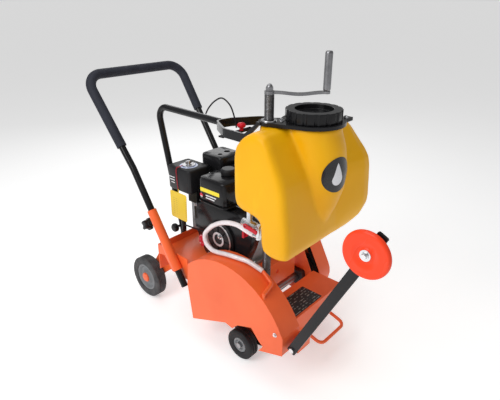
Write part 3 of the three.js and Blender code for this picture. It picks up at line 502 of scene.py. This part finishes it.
def water_tank():
    bm = bmesh.new()
    bm.from_mesh(frame["nodes"]["water_tank"].data)
    bmesh.ops.remove_doubles(bm, verts=bm.verts, dist=2e-6)
    close_cavity(bm)
    add_bulge(bm)
    piece = settle("tank_shell", bm, tank_yellow, "water_tank", ("water_tank",), 180)
    melt = piece.modifiers.new("one_skin", "REMESH")
    melt.mode = "VOXEL"
    melt.voxel_size = 0.0038
    melt.use_smooth_shade = True
    soft = piece.modifiers.new("soft_corners", "SMOOTH")
    soft.factor = 0.6
    soft.iterations = 14
    skin = bpy.data.meshes.new_from_object(piece.evaluated_get(bpy.context.evaluated_depsgraph_get()))
    piece.modifiers.clear()
    piece.data = skin
    skin.shade_smooth()
    return piece


tank = water_tank()
print("tank skin has", len(tank.data.polygons), "faces")

# %% [markdown]
# The badge is printed on a thin vinyl disc that follows the curve of the tank. Each point of a
# set of flat rings is sent inwards until it meets the skin, then stands a hair in front of it.
# The print is a plain water drop: a round bowl joined to a cone that narrows upwards.
# %% Tank badge
BADGE = at(-8, -300, 703)
BADGE_STEPS = 64
BOWL_HEIGHT, BOWL_RADIUS = -0.012, 0.0182


def badge_finish(centre):
    f = Finish("badge_vinyl")
    spot = f.node("ShaderNodeMapping", None, {"Vector": f.place, "Location": tuple(-v for v in centre)})
    x = f.node("ShaderNodeSeparateXYZ", None, {"Vector": spot}, out="X")
    z = f.node("ShaderNodeSeparateXYZ", None, {"Vector": spot}, out="Z")
    narrowing = f.band(z, -0.02, 0.036)
    width = (1 - narrowing) ** 0.8 * 0.021
    across = f.node("ShaderNodeMath", {"operation": "ABSOLUTE"}, {0: x})
    foot = f.node("ShaderNodeMath", {"operation": "GREATER_THAN"}, {0: z, 1: BOWL_HEIGHT})
    rise = z + -BOWL_HEIGHT
    spread = rise * rise + x * x
    bowl = f.node("ShaderNodeMath", {"operation": "LESS_THAN"}, {0: spread, 1: BOWL_RADIUS ** 2})
    cone = f.node("ShaderNodeMath", {"operation": "LESS_THAN"}, {0: across, 1: width}) * foot
    drop = f.node("ShaderNodeMath", {"operation": "MAXIMUM"}, {0: bowl, 1: cone})
    grain = f.noise(500.0, 2.0)
    base = f.blend(drop, (0.012, 0.012, 0.014), (0.78, 0.79, 0.82))
    f.bump(grain, 0.05, 0.0003)
    return f.set(Base_Color=base, Roughness=grain * 0.1 + 0.22)


def tank_badge():
    faces = [tuple(face.vertices) for face in tank.data.polygons]
    skin = BVHTree.FromPolygons([vert.co for vert in tank.data.vertices], faces)
    inward = Vector((0.28, 0.96, 0)).normalized()
    sideways = Vector((inward.y, -inward.x, 0))
    angles = [math.tau * k / BADGE_STEPS for k in range(BADGE_STEPS)]
    spokes = [sideways * math.cos(a) + Vector((0, 0, math.sin(a))) for a in angles]
    bm = bmesh.new()
    rings = []
    for radius in range(2, 53, 2):
        hits = [skin.ray_cast(BADGE + spoke * radius * MM - inward * 0.1, inward)[0] for spoke in spokes]
        rings.append([bm.verts.new(hit - inward * 0.9 * MM) for hit in hits])
    bm.faces.new(rings[0])
    for inner, outer in zip(rings, rings[1:]):
        for k in range(BADGE_STEPS):
            bm.faces.new((inner[k - 1], outer[k - 1], outer[k], inner[k]))
    bm.normal_update()
    bm.faces.ensure_lookup_table()
    if bm.faces[0].normal.dot(inward) > 0:
        bmesh.ops.reverse_faces(bm, faces=bm.faces)
    settle("tank_badge", bm, badge_finish(BADGE), "water_tank", (), 180)


tank_badge()
print("badge laid on the tank")

# %% [markdown]
# ## Turned parts
# Wheels, the guide disc and rims are bodies of revolution. A half profile of a few points is
# spun right round with the spin operator and its first and last ring merged.
# %% Turning
def turned(bm, profile, start, end, steps=72):
    axis = (end - start).normalized()
    side = axis.orthogonal().normalized()
    points = [start + axis * along * MM + side * radius * MM for radius, along in profile]
    verts = [bm.verts.new(point) for point in points]
    edges = [bm.edges.new(pair) for pair in zip(verts, verts[1:])]
    bmesh.ops.spin(bm, geom=verts + edges, cent=start, axis=axis, dvec=(0, 0, 0),
                   angle=2 * math.pi, steps=steps, use_merge=True)
    bmesh.ops.remove_doubles(bm, verts=bm.verts, dist=1e-6)
    bmesh.ops.recalc_face_normals(bm, faces=bm.faces)


def rounded(profile, radius, steps=3):
    """Replaces each inner corner of an open profile by a short curve."""
    points = [profile[0]]
    for before, corner, after in zip(profile, profile[1:], profile[2:]):
        a, b, c = Vector(before), Vector(corner), Vector(after)
        start = b + (a - b).normalized() * min(radius, (a - b).length * 0.45)
        end = b + (c - b).normalized() * min(radius, (c - b).length * 0.45)
        for k in range(steps + 1):
            t = k / steps
            p = (1 - t) ** 2 * start + 2 * t * (1 - t) * b + t * t * end
            points.append(tuple(p))
    points.append(profile[-1])
    return points


# %% [markdown]
# A solid rear tyre has a flat tread cut by narrow grooves, a bulging side wall and a bead that
# meets the rim. The groove list is worked out from the tread width, so that the grooves stay
# evenly spaced. The front tyre is the same shape with a smooth tread.
# %% Wheels
def tyre_profile(radius, bore, width, grooves):
    shoulder = 5
    points = [(bore, 3), (bore + 6, 0.5), (radius - 9, 0), (radius - 3, 2), (radius, shoulder)]
    pitch = (width - 2 * shoulder) / (grooves + 1) if grooves else 0
    for k in range(1, grooves + 1):
        middle = shoulder + pitch * k
        points += [(radius, middle - 1.6), (radius - 3, middle - 0.9),
                   (radius - 3, middle + 0.9), (radius, middle + 1.6)]
    points += [(radius, width - shoulder), (radius - 3, width - 2), (radius - 9, width),
               (bore + 6, width - 0.5), (bore, width - 3), (bore, 3)]
    return points


def wheel_piece(name, node, finish, profile, start, end, soften=0.0):
    bm = bmesh.new()
    turned(bm, rounded(profile, soften) if soften else profile, start, end)
    settle(name, bm, finish, node, (node,), 40)


REAR_BORE = 58
for label, side in (("right", -1), ("left", 1)):
    inner, outer = at(side * 112, 498, 82), at(side * 158, 498, 82)
    wheel_piece(f"rear_tyre_{label}_ribbed", f"rear_tyre_{label}", rear_rubber,
                tyre_profile(88, REAR_BORE, 46, 4), inner, outer)
    rim = [(8.3, 6), (40, 12), (46, 5), (57.5, 5), (57.5, 41), (52, 41), (49, 38), (44, 31),
           (34, 30), (28, 34), (24, 41), (8.3, 41), (8.3, 6)]
    wheel_piece(f"rear_rim_{label}_turned", f"rear_rim_{label}", grey_plastic, rim, inner, outer, 1.2)
    cap = [(0, 0), (20, 0), (20, 3.5), (18, 5.6), (13, 6.8), (0, 7)]
    wheel_piece(f"rear_cap_{label}_turned", f"rear_cap_{label}", orange_coat, cap,
                at(side * 153.4, 498, 82), at(side * 162, 498, 82), 0.6)
    inner, outer = at(side * 122, -49, 50), at(side * 164, -49, 50)
    wheel_piece(f"front_wheel_{label}_turned", f"front_wheel_{label}", front_rubber,
                tyre_profile(56, 28, 42, 2), inner, outer)
    hub = [(10.3, 2), (27.5, 2), (27.5, 38), (24, 39.5), (20, 38), (18, 34), (10.3, 34), (10.3, 2)]
    wheel_piece(f"front_hub_{label}_turned", f"front_hub_{label}", grey_plastic, hub, inner, outer, 0.8)
print("wheels turned")

# %% [markdown]
# The guide disc at the front is a dished plastic wheel with a raised boss and a rolled rim.
# %% Guide disc
DISC = (-493, 609)
disc_profile = [(5, 0), (16, 0), (16, 5), (30, 8), (57, 8), (63, 2.5), (63, 8), (61, 12.5),
                (57, 14.5), (47, 14), (36, 14.8), (30, 13), (20, 9), (16, 12), (5, 12), (5, 0)]
wheel_piece("guide_disc", "pointer_disc", disc_plastic, disc_profile,
            at(-185, *DISC), at(-220, *DISC), 1.8)
print("guide disc turned")


# %% [markdown]
# ## Bent tubes
# A bent tube is a straight run between corners, each corner being an arc that the straights
# meet without a kink. The route is worked out once and a round section is swept along it.
# %% Routes and sweeps
def bent_route(corners, bend, steps=12):
    points = [Vector(c) for c in corners]
    route = [points[0]]
    for before, corner, after in zip(points, points[1:], points[2:]):
        back, on = (before - corner).normalized(), (after - corner).normalized()
        half = back.angle(on) / 2
        centre = corner + (back + on).normalized() * (bend / math.sin(half))
        a = corner + back * (bend / math.tan(half)) - centre
        b = corner + on * (bend / math.tan(half)) - centre
        sweep = a.angle(b)
        for k in range(steps + 1):
            t = k / steps
            spoke = a * math.sin((1 - t) * sweep) + b * math.sin(t * sweep)
            route.append(centre + spoke / math.sin(sweep))
    route.append(points[-1])
    return [at(*p) for p in route]


def curve_piece(name, route, radius, finish):
    data = bpy.data.curves.new(name, "CURVE")
    data.dimensions = "3D"
    data.bevel_depth = radius
    data.bevel_resolution = 7
    data.use_fill_caps = True
    spline = data.splines.new("POLY")
    spline.points.add(len(route) - 1)
    for point, place in zip(spline.points, route):
        point.co = (*place, 1.0)
    data.materials.append(finish)
    piece = bpy.data.objects.new(name, data)
    scene.collection.objects.link(piece)
    return piece


def swept(name, route, radius, finish, node, stands_for=()):
    draft = curve_piece(name + "_draft", route, radius * MM, finish)
    mesh = bpy.data.meshes.new_from_object(draft.evaluated_get(bpy.context.evaluated_depsgraph_get()))
    bpy.data.objects.remove(draft)
    mesh.name = name
    settle(name, mesh, finish, node, stands_for, 40)


# %% [markdown]
# The push handle is one 25 mm tube bent four times. Its legs lean back, kink and flare to the
# cross bar, and a foam sleeve covers the bar and the top of both legs.
# %% Push handle
LEG_X, BAR_X = 199, 216
LEG_LOW, KINK, BAR = (183, 207), (431, 597), (650, 901)


def along_leg(side, t):
    return tuple(a + (b - a) * t for a, b in zip((side * LEG_X, *KINK), (side * BAR_X, *BAR)))


handle_corners = [(-LEG_X, *LEG_LOW), (-LEG_X, *KINK), (-BAR_X, *BAR),
                  (BAR_X, *BAR), (LEG_X, *KINK), (LEG_X, *LEG_LOW)]
swept("handle_tube_bent", bent_route(handle_corners, 58), 12.4, black_coat, "handle_tube", ("handle_tube",))
sleeve_corners = [along_leg(-1, 0.235), (-BAR_X, *BAR), (BAR_X, *BAR), along_leg(1, 0.44)]
swept("handle_sleeve", bent_route(sleeve_corners, 58, 14), 17.8, foam_sleeve, "handle_foam", ("handle_foam",))
lift_corners = [(-46, 362, 240), (-46, 362, 312), (-46, 466, 795), (-46, 137, 789)]
swept("lift_tube_bent", bent_route(lift_corners, 42), 11.9, black_coat, "lift_tube", ("lift_tube",))
print("tubes bent")

# %% [markdown]
# A small round knob is set low on the lift tube, facing the blade side, turned from one profile.
# Its job on a real saw isn't known. It stands beside the starter grip and may be the same part
# made twice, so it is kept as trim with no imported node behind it.
# %% Lift tube knob
knob_profile = [(0, 0), (5, 0), (5, 14), (13, 16), (17, 20), (17, 30), (13, 35), (0, 36)]
wheel = bmesh.new()
turned(wheel, rounded(knob_profile, 2), at(-58, 366, 336), at(-96, 366, 336), 32)
settle("lift_tube_knob", wheel, black_plastic, "lift_tube", (), 40)
print("knob set")

# %% [markdown]
# ## Hose and cable
# The water hose leaves the valve towards the rear, loops back under itself and ends on the
# orange spray pipe. The stop cable arches from the lift tube to the red button. Both are held
# at both ends, so the whole length shows. The points listed below are joined by one smooth
# curve.
# %% Hose and cable
HOSE_POINTS = [
    (-144, -98.8, 498), (-144, -92, 498.4), (-144, -64, 503), (-144, -32, 508),
    (-144, 14, 501), (-144, 62, 480), (-144, 100, 450), (-146, 122, 418), (-150, 112, 392),
    (-154, 82, 380), (-158, 48, 384), (-157, 12, 391), (-150, -32, 393), (-140, -71, 390),
    (-134, -102, 381), (-131.5, -119, 375.6), (-130.4, -124.4, 373),
]
CABLE_POINTS = [
    (-46, 203, 805), (-46, 190, 824), (-45, 160, 852), (-42, 128, 866),
    (-38, 98, 848), (-35, 82, 812), (-33, 75, 778),
]


def smooth_route(points, steps=8):
    """Centripetal curve through given points, close enough together to look round."""
    knots = [Vector(p) for p in points]
    knots = [2 * knots[0] - knots[1], *knots, 2 * knots[-1] - knots[-2]]
    route = []
    for p0, p1, p2, p3 in zip(knots, knots[1:], knots[2:], knots[3:]):
        t0, t1 = 0.0, math.sqrt((p1 - p0).length)
        t2 = t1 + math.sqrt((p2 - p1).length)
        t3 = t2 + math.sqrt((p3 - p2).length)
        for k in range(steps):
            t = t1 + (t2 - t1) * k / steps
            a = p0.lerp(p1, (t - t0) / (t1 - t0))
            b = p1.lerp(p2, (t - t1) / (t2 - t1))
            c = p2.lerp(p3, (t - t2) / (t3 - t2))
            d = a.lerp(b, (t - t0) / (t2 - t0))
            e = b.lerp(c, (t - t1) / (t3 - t1))
            route.append(d.lerp(e, (t - t1) / (t2 - t1)))
    route.append(knots[-2])
    return [at(*p) for p in route]


def cord_piece(name, points, radius, finish, node):
    route = smooth_route(points)
    length = sum((b - a).length for a, b in zip(route, route[1:]))
    piece = curve_piece(name, route, radius * MM, finish)
    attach(piece, BODY[node])
    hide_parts(node)
    print(name, round(length, 3), "m")


cord_piece("hose_run", HOSE_POINTS, 8, hose_wall, "water_hose")
cord_piece("cable_run", CABLE_POINTS, 2.5, black_plastic, "control_cable")

# %% [markdown]
# The small spray pipe is a bent 13 mm tube with a thin spigot into the guard.
# %% Spray pipe
swept("spray_pipe", bent_route([(-130, -127, 371.9), (-138, -170, 350), (-190, -180, 341)], 12, 6), 6.4,
      orange_coat, "water_pipe", ("water_pipe",))
swept("spray_spigot", [at(-189, -180, 346), at(-189, -180, 322)], 5, orange_coat, "water_pipe")
print("spray pipe made")

# %% [markdown]
# ## The depth crank
# The post is a threaded tube. The arm is a flat bar that sags in the middle between hub and grip,
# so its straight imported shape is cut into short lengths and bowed. The grip is a turned sleeve.
# %% Crank
GRIP, GRIP_FOOT, GRIP_LENGTH = (10, -225), 925.6, 104
ARM_CUTS, ARM_SAG = 14, 5
refined("crank_post", post_thread, 0.6)
refined("crank_nut", crank_steel, 0.6)


def bowed_arm():
    bm = merged_copy("crank_arm")
    hub, grip = at(*POST, 0), at(*GRIP, 0)
    run = Vector((grip.x - hub.x, grip.y - hub.y, 0))
    across = run.normalized()
    for k in range(1, ARM_CUTS):
        cut = hub + across * (run.length * k / ARM_CUTS)
        geometry = bm.verts[:] + bm.edges[:] + bm.faces[:]
        bmesh.ops.bisect_plane(bm, geom=geometry, plane_co=cut, plane_no=across)
    for vert in bm.verts:
        t = (vert.co - hub).dot(across) / run.length
        if 0.1 < t < 0.95:
            s = (t - 0.1) / 0.85
            vert.co.z -= ARM_SAG * MM * math.sin(math.pi * s) ** 2
    settle("crank_arm_bowed", bm, crank_steel, "crank_arm", ("crank_arm",), 40)


bowed_arm()
grip_profile = [(0, 0), (8.6, 0), (10.4, 5), (10.4, 99), (8.6, 104), (0, 104)]
grip_bm = bmesh.new()
turned(grip_bm, rounded(grip_profile, 1.5), at(*GRIP, GRIP_FOOT), at(*GRIP, GRIP_FOOT + GRIP_LENGTH), 48)
settle("crank_grip_turned", grip_bm, crank_steel, "crank_grip", ("crank_grip",), 40)
print("crank finished")

# %% [markdown]
# ## Fasteners and trim
# Bolts, washers, a ring round the starter, a data plate and the label bands are small but they
# tell the viewer how big everything is. Each one is a short function called in a loop.
# %% Hex bolts
def hex_bolt(name, place, direction, size, node):
    """Washer and six-sided head standing on a face, size across the flats in millimetres."""
    bm = bmesh.new()
    axis, flats = Vector(direction).normalized(), size * MM
    upright = Vector((0, 0, 1)).rotation_difference(axis).to_matrix().to_4x4()
    turn = Matrix.Translation(at(*place)) @ upright
    washer = turn @ Matrix.Translation((0, 0, 0.8 * MM))
    bmesh.ops.create_cone(bm, cap_ends=True, segments=28, radius1=flats * 0.95, radius2=flats * 0.92,
                          depth=1.6 * MM, matrix=washer)
    head = turn @ Matrix.Translation((0, 0, 1.4 * MM + flats * 0.28))
    made = bmesh.ops.create_cone(bm, cap_ends=True, segments=6, radius1=flats * 0.577,
                                 radius2=flats * 0.577, depth=flats * 0.56, matrix=head)
    top = [f for f in bm.faces
           if len(f.verts) == 6 and f.normal.dot(axis) > 0.9 and f.verts[0] in made["verts"]]
    bmesh.ops.bevel(bm, geom=[e for f in top for e in f.edges], offset=flats * 0.06, segments=2,
                    profile=0.5, affect="EDGES", material=-1)
    settle(name, bm, zinc, node, (), 30)


BOLTS = [
    ("guard_bolt_front", (-198, -235, 226), (-1, 0, 0), 8, "blade_guard"),
    ("starter_bolt", (-104.4, 92, 405), (-1, 0, 0), 10, "recoil_cover"),
    ("collar_bolt", (-70, -136, 844), (0, 0, 1), 9, "tank_bracket"),
    ("collar_tab_bolt", (80, -250, 844), (0, 0, 1), 8, "tank_bracket"),
]
for y, z in ((-20, 330), (-34, 470), (170, 300), (228, 480)):
    BOLTS.append((f"shroud_bolt_{len(BOLTS)}", (-88, y, z), (-1, 0, 0), 7, "fan_shroud"))
for x in (-28, 150):
    for y in (4, 200):
        BOLTS.append((f"engine_bolt_{len(BOLTS)}", (x, y, 302), (0, 0, 1), 11, "engine_block"))
for y, z in ((-58, 130), (-58, 186), (2, 130), (2, 186)):
    BOLTS.append((f"bearing_bolt_{len(BOLTS)}", (-86, y, z), (1, 0, 0), 8, "bearing_right"))
for y, z in ((-70, 158), (40, 250), (101, 450)):
    BOLTS.append((f"belt_guard_bolt_{len(BOLTS)}", (301, y, z), (1, 0, 0), 10, "belt_guard"))
for name, place, direction, size, node in BOLTS:
    hex_bolt(name, place, direction, size, node)
print(len(BOLTS), "bolts set")

# %% [markdown]
# A thin plate with rounded corners serves for the data plate on the deck and the pale strips on
# the fuel tank and the air cleaner. It starts as one face, gets its corners rounded by a vertex
# bevel, and is then given its thickness. All are ruled with bars and carry no words.
# %% Thin plates
def thin_plate(name, corners, lift, finish, node, round_off=3.0, thickness=0.5):
    bm = bmesh.new()
    bm.faces.new([bm.verts.new(at(*corner)) for corner in corners])
    bmesh.ops.bevel(bm, geom=bm.verts[:], offset=round_off * MM, segments=4, profile=0.5,
                    affect="VERTICES", material=-1)
    grown = bmesh.ops.extrude_face_region(bm, geom=bm.faces[:])
    moved = [g for g in grown["geom"] if isinstance(g, bmesh.types.BMVert)]
    bmesh.ops.translate(bm, verts=moved, vec=Vector(lift) * thickness * MM)
    bmesh.ops.recalc_face_normals(bm, faces=bm.faces)
    settle(name, bm, finish, node, (), 30)


def ruled_plate(name, colour, ink, axis, pitch, amount):
    """Printed plate with short pale rules, no words."""
    f = Finish(name)
    step = f.node("ShaderNodeMath", {"operation": "FRACT"}, {0: f.axis(axis) * (1 / pitch)})
    bar = f.band(step, 0.66, 0.72)
    broken = f.band(f.noise(95.0, 1.0, 0.5), 0.5, 0.56)
    base = f.blend(bar * broken * amount, colour, ink)
    scratch = f.band(f.noise(40.0, 6.0, 0.7, f.scaled(1, 4, 1)), 0.6, 0.75)
    f.bump(scratch, 0.1, 0.0003)
    return f.set(Base_Color=base, Roughness=scratch * 0.2 + 0.3)


plate_black = ruled_plate("plate_black", (0.01, 0.01, 0.011), (0.42, 0.42, 0.4), "Y", 0.011, 0.75)
label_yellow = ruled_plate("label_yellow", (0.9, 0.72, 0.02), (0.9, 0.75, 0.1), "Z", 0.02, 0.3)
label_white = ruled_plate("label_white", (0.78, 0.78, 0.8), (0.3, 0.3, 0.33), "Z", 0.006, 0.4)
thin_plate("deck_plate", [(-58, -204, 190), (104, -204, 190), (104, -118, 190), (-58, -118, 190)],
           (0, 0, 1), plate_black, "chassis", 4.0, 0.8)
thin_plate("fuel_stripe", [(-109, 84, 556), (-109, 176, 556), (-109, 176, 570), (-109, 84, 570)],
           (-1, 0, 0), label_yellow, "fuel_tank", 2.0, 0.6)
for k, (y0, y1) in enumerate(((100, 150), (108, 150))):
    z = 544 - 9 * k
    thin_plate(f"fuel_rule_{k}", [(-109, y0, z), (-109, y1, z), (-109, y1, z + 4), (-109, y0, z + 4)],
               (-1, 0, 0), label_white, "fuel_tank", 1.0, 0.6)
for k in range(3):
    z, y1 = 562 - 10 * k, 352 - 6 * k
    corners = [(-104, 320, z), (-104, y1, z), (-104, y1, z + 3.5), (-104, 320, z + 3.5)]
    thin_plate(f"cleaner_rule_{k}", corners, (-1, 0, 0), label_white, "air_cleaner", 1.0, 0.5)
print("plates and rules laid")

# %% [markdown]
# The starter carries a bright ring and an oval two-colour sticker, the air cleaner a pale dial
# under its wing knob, and the fuel tank a round spot. All are flat discs with a soft edge.
# %% Rings, dials and stickers
def flat_disc(name, place, direction, outer, inner, thickness, finish, node, squash=(1, 1)):
    bm = bmesh.new()
    start, axis = at(*place), Vector(direction).normalized()
    profile = [(inner, 0), (outer, 0), (outer, thickness * 0.6), (outer - 0.5, thickness),
               (inner, thickness), (inner, 0)]
    turned(bm, profile, start, start + axis, 48)
    for vert in bm.verts:
        vert.co.y = start.y + (vert.co.y - start.y) * squash[0]
        vert.co.z = start.z + (vert.co.z - start.z) * squash[1]
    settle(name, bm, finish, node, (), 30)


dial_blue = ruled_plate("dial_blue", (0.5, 0.58, 0.8), (0.85, 0.86, 0.9), "Y", 0.007, 0.8)
sticker_red = ruled_plate("sticker_red", (0.62, 0.02, 0.05), (0.85, 0.85, 0.85), "Z", 0.016, 0.9)
flat_disc("starter_ring", (-103.3, 101, 391), (-1, 0, 0), 27, 19, 1.6, silver_trim, "recoil_cover")
flat_disc("starter_cup", (-103.3, 101, 391), (-1, 0, 0), 60, 54, 1.0, silver_trim, "recoil_cover")
flat_disc("cleaner_dial", (-58, 292, 605), (0, 0, 1), 33, 25, 0.8, dial_blue, "air_cleaner")
flat_disc("shroud_sticker", (-88, 206, 340), (-1, 0, 0), 20, 0.01, 0.5, sticker_red, "fan_shroud",
          (0.75, 1.25))
flat_disc("disc_washer", (-196.5, *DISC), (-1, 0, 0), 15, 5.2, 2.0, zinc, "pointer_disc")
flat_disc("post_ring", (*POST, 844), (0, 0, 1), 23, 14.4, 3, zinc, "tank_bracket")
flat_disc("fuel_spot", (-109, 172, 541), (-1, 0, 0), 7, 0.01, 0.5, sticker_red, "fuel_tank")
print("rings and dials set")

# %% [markdown]
# The yellow tag hangs on a loop of red string that runs down from the wing knob over the edge of
# the air cleaner. A string is a very thin swept curve.
# %% Tag string
string_red = rubber("string_red", (0.5, 0.01, 0.03), (0.6, 0.1, 0.1), 1500.0, 0.3)
for k, offset in enumerate((0, 4)):
    string = smooth_route([(-82, 296 + offset, 610), (-95, 300 + offset, 607.5), (-104.6, 303 + offset, 603),
                           (-105.6, 304 + offset, 570), (-106, 302 + offset * 0.3, 523)], 5)
    swept(f"tag_string_{k}", string, 0.6, string_red, "air_cleaner")
print("string tied")

# %% [markdown]
# ## Floor and light
# A large pale floor under soft lamps gives the even light of a studio. The floor glows a little
# of its own, which keeps it near white. It isn't part of the saw.
# %% Floor
def pale_floor():
    f = Finish("pale_floor")
    f.set(Base_Color=f.blend(f.noise(3.0), (0.95, 0.95, 0.95), (0.93, 0.93, 0.93)), Roughness=0.85,
          Emission_Color=(1.0, 1.0, 1.0, 1.0), Emission_Strength=0.4)
    bm = bmesh.new()
    bmesh.ops.create_grid(bm, x_segments=2, y_segments=2, size=300)
    mesh = bpy.data.meshes.new("floor")
    bm.to_mesh(mesh)
    bm.free()
    mesh.materials.append(f.material)
    floor = bpy.data.objects.new("floor", mesh)
    scene.collection.objects.link(floor)


pale_floor()
print("floor laid")

# %% [markdown]
# The key lamp hangs over the blade side, a wide one is straight above, and two weaker ones in
# front and behind open the shadows. A faint white world fills what is left.
# %% Lights
def soft_lamp(name, place, target, size, power):
    data = bpy.data.lights.new(name, "AREA")
    data.shape = "SQUARE"
    data.size = size
    data.energy = power
    lamp = bpy.data.objects.new(name, data)
    lamp.location = place
    heading = Vector(target) - Vector(place)
    lamp.rotation_euler = heading.to_track_quat("-Z", "Y").to_euler()
    scene.collection.objects.link(lamp)


soft_lamp("key_lamp", (-2.2, 0.1, 2.0), (0, 0, 0.4), 1.4, 34)
soft_lamp("top_lamp", (-0.2, 0.3, 2.8), (0, 0, 0.3), 2.2, 22)
soft_lamp("front_lamp", (-0.4, -2.6, 1.1), (0, 0, 0.5), 1.6, 1.5)
soft_lamp("back_lamp", (1.4, 2.2, 1.8), (0, 0, 0.5), 1.4, 10)
world = bpy.data.worlds.new("studio")
world.use_nodes = True
backdrop = world.node_tree.nodes["Background"]
backdrop.inputs["Color"].default_value = (1.0, 1.0, 1.0, 1.0)
backdrop.inputs["Strength"].default_value = 0.3
scene.world = world
print("lamps hung")
